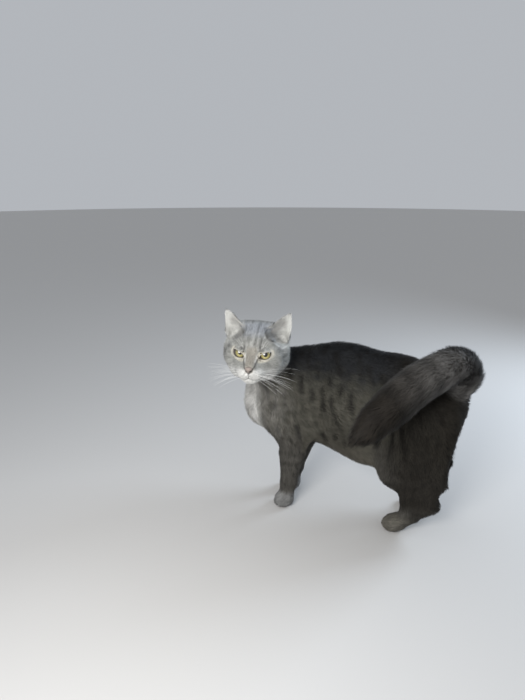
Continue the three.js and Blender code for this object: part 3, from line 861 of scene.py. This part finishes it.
def buildLids(name, s, columns=88):
    axis, corner, rise = lidAxes(s)
    centre = eyeShape["centre"] * (1, s, 1)
    phi = np.arange(columns) * tau / columns
    across, along = opening(phi)
    worldAxis = Vector(headAxes @ axis)
    rows, colours = [], []
    outermost = lidShape["rings"][-1][0]
    for size, height in lidShape["rings"] + lidShape["skinRings"]:
        flat = centre + corner * (across * size)[:, None] + rise * (along * size)[:, None]
        reach = np.hypot(across, along) * size
        onBall = np.sqrt(np.maximum(eyeShape["radius"] ** 2 - reach ** 2, 4))
        swell = ballReach(flat - centre + axis * onBall[:, None])
        onBall = np.sqrt(np.maximum((swell + height) ** 2 - reach ** 2, 4))
        ahead = np.zeros(columns)
        tint = np.zeros((columns, 3))
        for i, q in enumerate(flat):
            start = Vector(fromHead(q + axis * 40))
            hit, _, index, _ = skinTree.ray_cast(start, -worldAxis)
            if hit is None:
                hit, _, index, _ = skinTree.find_nearest(Vector(fromHead(q)))
            ahead[i] = (toHead(np.array(hit)) - centre) @ axis
            tint[i] = skinColour[skin.triangles[index]].mean(0)
        mix = ramp(size, 1.02, 1.5)  # from the ball to the skin
        ahead = ahead + height
        if size <= outermost:
            ahead = np.maximum(ahead, onBall)
        rows.append(flat + axis * (onBall * (1 - mix) + ahead * mix)[:, None])
        ink, pale = ramp(-size, -1.13, -1.03), ramp(-size, -1.62, -1.3)
        tint = blendTo(tint, lidShape["rim"], np.full(columns, 0.8 * pale))
        above = np.where(np.sin(phi) > -0.1, 1, 0.6)  # the upper lid's edge is the darker one
        colours.append(blendTo(tint, lidShape["liner"], ink * above))
    places = np.concatenate(rows)
    soft = places.reshape(len(rows), columns, 3)
    for _ in range(2):  # evens the rings out
        soft[3:-1] += 0.3 * ((soft[2:-2] + soft[4:]) / 2 - soft[3:-1])
        soft[3:-1] += 0.25 * ((np.roll(soft, 1, 1) + np.roll(soft, -1, 1))[3:-1] / 2 - soft[3:-1])
    faces = np.array(gridFaces(len(rows), columns))
    if s > 0:
        faces = faces[:, ::-1]
    piece = placeMesh(name, fromHead(soft.reshape(-1, 3)), faces, lidMaterial)
    paint(piece.data, np.concatenate(colours))


for name, s in (("left", 1), ("right", -1)):
    buildEye("eye_" + name, s)
    buildLids("eyelids_" + name, s)
print("eyes done")


# nose leather

noseShape = {
    "middle": (50.2, 0, -13.6),
    "halfWidth": 4.5, "halfHeight": 5.2, "bulge": 4.6,
    "taper": 0.72,  # narrower at the bottom
    "lean": 0.32,  # the foot of it lies further back
    "nostril": (2.7, -1.0, 0.9, 0.8, 1.8),  # side, height, half-width, half-height, depth
    "colour": (0.30, 0.25, 0.22),
    "rim": (0.085, 0.075, 0.072),
}


def buildNose(columns=64, rows=26):
    n = noseShape
    r = np.linspace(0.02, 1.0, rows)
    phi = np.arange(columns) * tau / columns
    rr, ph = (g.ravel() for g in np.meshgrid(r, phi, indexing="ij"))
    height = n["halfHeight"] * rr * np.sin(ph)
    width = n["halfWidth"] * rr * np.cos(ph) * (1 + n["taper"] * np.sin(ph) * rr)
    ahead = n["bulge"] * (1 - rr ** 2.6) ** 0.5 + n["lean"] * height
    at, up, wide, tall, deep = n["nostril"]
    slit = np.exp(-((np.abs(width) - at - 0.35 * (height - up)) / wide) ** 2 - ((height - up) / tall) ** 2)
    wing = np.exp(-((np.abs(width) - at - 1.9) / 0.7) ** 2 - ((height - up - 1) / 1.3) ** 2)
    groove = near(width, 0, 0.45) * ramp(-height, -0.6, 1.6)
    ahead = ahead - deep * slit + 0.3 * wing - 0.7 * groove
    colour = np.tile(np.array(n["colour"]), (len(rr), 1))
    colour = blendTo(colour, n["rim"], 0.9 * ramp(rr, 0.66, 0.92) * ramp(-np.sin(ph), -0.45, 0.25))
    # the nostrils are painted near black, as painted shade inside the openings
    colour = blendTo(colour, (0.012, 0.010, 0.010), np.clip(1.3 * slit, 0, 1))
    colour = blendTo(colour, n["rim"], 0.6 * groove)
    local = np.stack([ahead, width, height], 1)
    back = np.array([(-5.0, 0, 0)])
    places = fromHead(np.concatenate([local, back]) + n["middle"])
    faces = [f[::-1] for f in gridFaces(rows, columns)]
    faces.append(tuple(range(columns)))
    last = (rows - 1) * columns
    faces += [(last + i, last + (i + 1) % columns, len(places) - 1)[::-1] for i in range(columns)]
    piece = placeMesh("nose", places, faces, leatherMaterial)
    paint(piece.data, np.concatenate([colour, [n["rim"]]]))
    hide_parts("nose")


buildNose()


# whiskers and brow hairs

whiskers = {
    "rows": ((-19.5, 4), (-22.0, 5), (-24.5, 5), (-27.0, 3)),  # height on the pad, how many
    "length": (34, 56),
    "browHairs": 3,
    "radius": 0.14,
    "colour": (0.85, 0.85, 0.83),
}


def buildWhiskers(segments=10, sides=4):
    die = np.random.default_rng(31)
    roots, ways, lengths = [], [], []
    short, longest = whiskers["length"]
    for s in (1, -1):
        for row, (height, count) in enumerate(whiskers["rows"]):
            for i in range(count):
                back = i / max(count - 1, 1)
                roots.append((45.5 - 9 * back, s * (8 + 7.5 * back), height + die.normal(0, 0.3)))
                ways.append((0.40 - 0.45 * back, s, 0.22 - 0.17 * row + die.normal(0, 0.05)))
                lengths.append(short + (longest - short) * (0.35 + 0.65 * back) * die.uniform(0.85, 1.1))
        for i in range(whiskers["browHairs"]):
            roots.append((24, s * (13 + 2.5 * i), 15))
            ways.append((0.45, s * (0.25 + 0.15 * i), 0.9))
            lengths.append(20 + 3 * i)
    places, faces = [], []
    for root, way, length in zip(roots, ways, lengths):
        way = unit(np.array(way, float))
        start = Vector(fromHead(np.array(root, float) + way * 30))
        hit = skinTree.ray_cast(start, -Vector(headAxes @ way))[0]
        at = toHead(np.array(hit)) - way * 1.0 if hit is not None else np.array(root, float)
        for ring in range(segments + 1):
            gone = ring / segments
            spread = unit(np.cross(way, (0.2, 0, 1)))
            lift = np.cross(spread, way)
            thick = whiskers["radius"] * (1 - gone) ** 0.8 + 0.025
            for k in range(sides):
                turn = tau * k / sides
                places.append(at + (spread * math.cos(turn) + lift * math.sin(turn)) * thick)
            at = at + way * length / segments
            way = unit(way + np.array([-0.045, 0, -0.05 - 0.02 * gone]))
        base = len(places) - (segments + 1) * sides
        faces += [tuple(base + i for i in f) for f in gridFaces(segments + 1, sides)]
        faces.append(tuple(base + segments * sides + k for k in range(sides)))
        faces.append(tuple(base + k for k in reversed(range(sides))))
    piece = placeMesh("whiskers", fromHead(np.array(places)), faces, whiskerMaterial)
    paint(piece.data, np.tile(whiskers["colour"], (len(places), 1)))


buildWhiskers()
print("nose and whiskers done")


# an unwrap of the skin's own shape

def unwrapSkin():
    mesh = skinPiece.data
    bpy.context.view_layer.objects.active = skinPiece
    skinPiece.select_set(True)
    mesh.uv_layers.new(name="OFBake")
    bpy.ops.object.mode_set(mode="EDIT")
    bpy.ops.mesh.select_all(action="SELECT")
    bpy.ops.uv.smart_project(angle_limit=1.15, island_margin=0.002, scale_to_bounds=True)
    bpy.ops.object.mode_set(mode="OBJECT")
    flat = np.zeros(len(mesh.loops) * 2, np.float32)
    mesh.uv_layers["OFBake"].data.foreach_get("uv", flat)
    mesh.calc_loop_triangles()
    loops = np.zeros(len(mesh.loop_triangles) * 3, np.int32)
    corners = loops.copy()
    mesh.loop_triangles.foreach_get("loops", loops)
    mesh.loop_triangles.foreach_get("vertices", corners)
    return corners.reshape(-1, 3), flat.reshape(-1, 2)[loops].reshape(-1, 3, 2)


skinTriangles, skinUv = unwrapSkin()
print("skin unwrapped")


# coat of tufts

coatLook = {
    "thin": 1.0,
    "stray": 0.15,  # how far tufts turn from the lie, radians
    # the root of each tuft is painted darker as painted shade among the tufts; the tip is lighter from the
    # hairs' pale ticking
    "rootShade": 0.66,
    "tipShade": 1.14,
    "softness": 0.65,  # how much of the skin's normal a tuft takes
    "patch": 0.0012,  # half the width of a tuft's place on the unwrap
    "rings": ((1.35, 0.95), (0.65, 0.8), (0, 0)),  # steepness and width at the root, middle and tip
}
# corners of a tuft: 0 to 2 round its root, 3 to 5 round its middle, 6 its tip
tuftFaces = (
    (1, 0, 4), (4, 0, 3), (2, 1, 5), (5, 1, 4), (0, 2, 3), (3, 2, 5), (4, 3, 6), (5, 4, 6), (3, 5, 6),
)


def scatterTufts(chosen, density):  # corners, weights and unwrap place of each root
    t = skinTriangles[chosen]
    a, b, c = (skin.places[t[:, i]] for i in range(3))
    area = np.linalg.norm(np.cross(b - a, c - a), axis=1) / 2
    wanted = area * density[t].mean(1) * coatLook["thin"]
    count = np.floor(wanted + dice.random(len(t))).astype(int)
    pick = np.repeat(np.arange(len(t)), count)
    u, v = dice.random((2, len(pick)))
    over = u + v > 1
    u, v = np.where(over, 1 - u, u), np.where(over, 1 - v, v)
    w = np.stack([1 - u - v, u, v], axis=1)
    return t[pick], w, (skinUv[chosen][pick] * w[:, :, None]).sum(1)


def growTufts(name, chosen, density, tall, long, wide, lie, colours):
    corners, w, rootUv = scatterTufts(chosen, density)
    count = len(corners)

    def atRoot(values):
        return (values[corners] * (w[:, :, None] if values.ndim == 2 else w)).sum(1)

    normal, comb = unit(atRoot(skinNormal)), unit(atRoot(lie))
    tall, wide = atRoot(tall) * dice.uniform(0.7, 1.12, count), atRoot(wide) * dice.uniform(0.7, 1.3, count)
    long = np.maximum(atRoot(long) * dice.uniform(0.72, 1.15, count), tall * 1.05)
    across = unit(np.cross(normal, comb))
    turn = dice.normal(0, coatLook["stray"], count)[:, None]
    comb = unit(comb * np.cos(turn) + across * np.sin(turn))
    across = unit(np.cross(normal, comb))
    rise = np.arcsin(np.clip(tall / long, 0.04, 0.9))
    shade = dice.uniform(0.84, 1.16, count)[:, None]
    patch = coatLook["patch"]
    spine = atRoot(skin.places) - normal * 0.3
    places, tints, uvs, bends = [], [], [], []
    for ring, (steep, width) in enumerate(coatLook["rings"]):
        at = ring / 2
        tint = atRoot(colours[ring]) * shade
        # painted shade towards the root, pale ticking towards the tip
        tint = tint * (coatLook["rootShade"] + (coatLook["tipShade"] - coatLook["rootShade"]) * at)
        slope = rise * steep
        bend = unit(normal * np.cos(slope)[:, None] - comb * np.sin(slope)[:, None])
        if ring == 2:
            places.append(spine[:, None])
            tints.append(tint[:, None])
            uvs.append((rootUv + (0, patch))[:, None])
            bends.append(normal[:, None])
            continue
        half = (wide * width / 2)[:, None]
        places.append(np.stack([spine - across * half, spine + bend * half * 0.7, spine + across * half], 1))
        tints.append(np.repeat(tint[:, None], 3, axis=1))
        row = np.array([(-patch, 0), (0, 0), (patch, 0)])
        uvs.append(rootUv[:, None] + row + (0, patch * (at * 1.6 - 1)))
        bends.append(np.stack([bend - across * 0.9, bend, bend + across * 0.9], 1))
        step = comb * np.cos(slope)[:, None] + normal * np.sin(slope)[:, None]
        spine = spine + step * (long / 2)[:, None]
    places = np.concatenate(places, 1)
    places[:, :, 2] = np.maximum(places[:, :, 2], floorGap["coat"])
    faces = (np.array(tuftFaces)[None] + np.arange(count)[:, None, None] * places.shape[1]).reshape(-1, 3)
    piece = placeMesh(name, places.reshape(-1, 3), faces, furMaterial)
    mesh = piece.data
    paint(mesh, np.concatenate(tints, 1).reshape(-1, 3))
    soft = coatLook["softness"]
    bent = unit(soft * normal[:, None] + (1 - soft) * unit(np.concatenate(bends, 1))).reshape(-1, 3)
    mesh.attributes.new("custom_normal", "FLOAT_VECTOR", "POINT").data.foreach_set(
        "vector", bent.astype(np.float32).ravel())
    layer = mesh.uv_layers.new(name="OFBake")
    order = faces.ravel()
    layer.data.foreach_set("uv", np.concatenate(uvs, 1).reshape(-1, 2)[order].astype(np.float32).ravel())
    print(name, count, "tufts", len(faces), "triangles")
    return len(faces)


# the tufts' height, length and number on each vertex
tall, wide, density = depth * 1.02, plan[:, 2], plan[:, 3].copy()
temple = headShare * ramp(side, 30, 42) * ramp(headZ, -26, -8) * (1 - ramp(headZ, 18, 34))
temple = temple * (1 - ramp(headX, 2, 14))
tall, long = tall + 2.6 * temple, long + 4 * temple
density *= ramp(eyeRegion, 1.25, 1.5)  # none on the lids
closeToEye = ramp(eyeRegion, 1.3, 2.4)
long = long * (0.35 + 0.65 * closeToEye)
tall = np.minimum(tall, 0.5 + 3 * closeToEye * depth)
density *= 1 + 0.8 * (1 - closeToEye) * headShare
long = long * (1 - 0.5 * creases) * (1 + 0.16 * ripple(outer, 22, 51) * (1 - headShare))
density *= 1 - ramp(-outNormal[:, 2], 0.5, 0.8) * share("paw") * (outer[:, 2] < 5)
density *= 1 - 0.75 * creases - 0.5 * toes
density *= 1 - 0.75 * np.exp(-((faceLocal - noseShape["middle"]) ** 2).sum(1) / 7.0 ** 2)
coatRings = (coatColour, coatColour[skin.along(comb, long * 0.45)], coatColour[skin.along(comb, long * 0.9)])
triangleLabel = label[skinTriangles[:, 0]]
centre = outer[skinTriangles].mean(1)
faceFront = faceLocal[skinTriangles[:, 0], 0] > 2


def trianglesOf(*keys):
    return np.isin(triangleLabel, nodesWith(*keys))


fore, left = centre[:, 0] < -20, centre[:, 1] < middle
coatPieces = {
    "coat_face": trianglesOf("muzzle") | (trianglesOf("head") & faceFront),
    "coat_back_of_head": trianglesOf("head") & ~faceFront,
    "coat_ears": trianglesOf("ear_"),
    "coat_neck": trianglesOf("neck"),
    "coat_shoulder_left": trianglesOf("trunk") & fore & left,
    "coat_shoulder_right": trianglesOf("trunk") & fore & ~left,
    "coat_loin_left": trianglesOf("trunk") & ~fore & left,
    "coat_loin_right": trianglesOf("trunk") & ~fore & ~left,
    "coat_front_legs": trianglesOf("front"),
    "coat_thighs": trianglesOf("hind") & trianglesOf("upper"),
    "coat_hind_legs": trianglesOf("hind") & ~trianglesOf("upper"),
    "coat_tail": trianglesOf("tail"),
}
total = 0
for name, chosen in coatPieces.items():
    total += growTufts(name, chosen, density, tall, long, wide, comb, coatRings)

# long pale hairs lie from the inner rim across the hollow of each ear
earHair = {"long": 10, "wide": 0.6, "tall": 2.5, "density": 1.6, "colour": (0.66, 0.65, 0.62)}
rooted = earCup()[2]
earWay = np.stack([np.full(len(outer), 0.25), np.sign(faceLocal[:, 1]) * 0.5, np.full(len(outer), 0.8)], 1)
even = np.ones(len(outer))
pale = np.tile(np.array(earHair["colour"]), (len(outer), 1))
total += growTufts(
    "hair_in_ears", trianglesOf("ear_", "head") & (faceLocal[skinTriangles[:, 0], 2] > 20),
    earHair["density"] * rooted, earHair["tall"] * even, earHair["long"] * even,
    earHair["wide"] * even, unit(earWay) @ headAxes.T, (pale * 0.9, pale, pale))
print("coat has", total, "triangles")
